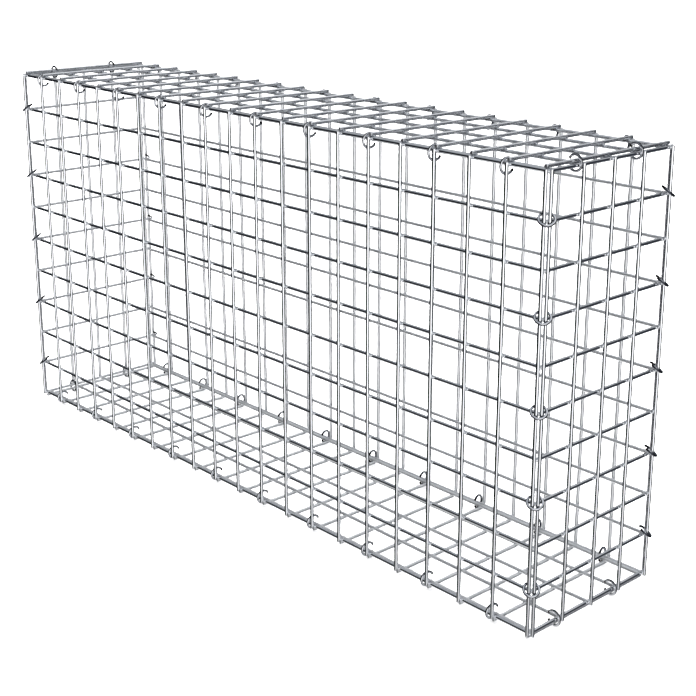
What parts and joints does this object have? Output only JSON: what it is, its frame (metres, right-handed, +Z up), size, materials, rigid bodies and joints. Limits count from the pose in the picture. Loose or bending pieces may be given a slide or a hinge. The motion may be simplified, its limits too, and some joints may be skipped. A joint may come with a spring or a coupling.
{
  "type": "welded mesh gabion basket",
  "caption": "Empty rectangular basket of welded steel mesh, closed by a mesh lid and tied along its edges with C-rings, to be filled with stones as a wall block.",
  "frame": {"origin": "middle of the footprint, on the ground that the lowest rings touch", "axes": "+X along the wall's length, +Y through its depth from front to back, +Z up"},
  "size_m": [1.0198, 0.2198, 0.5219],
  "materials": {
    "galvanised_mesh": "bright zinc-coated drawn wire",
    "galvanised_ring": "bright zinc-coated wire, cut tips darker"
  },
  "bodies": {
    "root": {"front_panel": "galvanised_mesh", "back_panel": "galvanised_mesh", "left_panel": "galvanised_mesh", "right_panel": "galvanised_mesh", "lid_panel": "galvanised_mesh", "base_panel": "galvanised_mesh", "front_top_edge_rings": "galvanised_ring", "front_bottom_edge_rings": "galvanised_ring", "back_top_edge_rings": "galvanised_ring", "back_bottom_edge_rings": "galvanised_ring", "left_top_edge_ring_1": "galvanised_ring", "left_top_edge_ring_2": "galvanised_ring", "left_bottom_edge_ring_1": "galvanised_ring", "left_bottom_edge_ring_2": "galvanised_ring", "right_top_edge_ring_1": "galvanised_ring", "right_top_edge_ring_2": "galvanised_ring", "right_bottom_edge_ring_1": "galvanised_ring", "right_bottom_edge_ring_2": "galvanised_ring", "front_left_corner_ring_1": "galvanised_ring", "front_left_corner_ring_2": "galvanised_ring", "front_left_corner_ring_3": "galvanised_ring", "front_left_corner_ring_4": "galvanised_ring", "front_left_corner_ring_5": "galvanised_ring", "front_right_corner_ring_1": "galvanised_ring", "front_right_corner_ring_2": "galvanised_ring", "front_right_corner_ring_3": "galvanised_ring", "front_right_corner_ring_4": "galvanised_ring", "front_right_corner_ring_5": "galvanised_ring", "back_left_corner_ring_1": "galvanised_ring", "back_left_corner_ring_2": "galvanised_ring", "back_left_corner_ring_3": "galvanised_ring", "back_left_corner_ring_4": "galvanised_ring", "back_left_corner_ring_5": "galvanised_ring", "back_right_corner_ring_1": "galvanised_ring", "back_right_corner_ring_2": "galvanised_ring", "back_right_corner_ring_3": "galvanised_ring", "back_right_corner_ring_4": "galvanised_ring", "back_right_corner_ring_5": "galvanised_ring"}
  },
  "joints": []
}
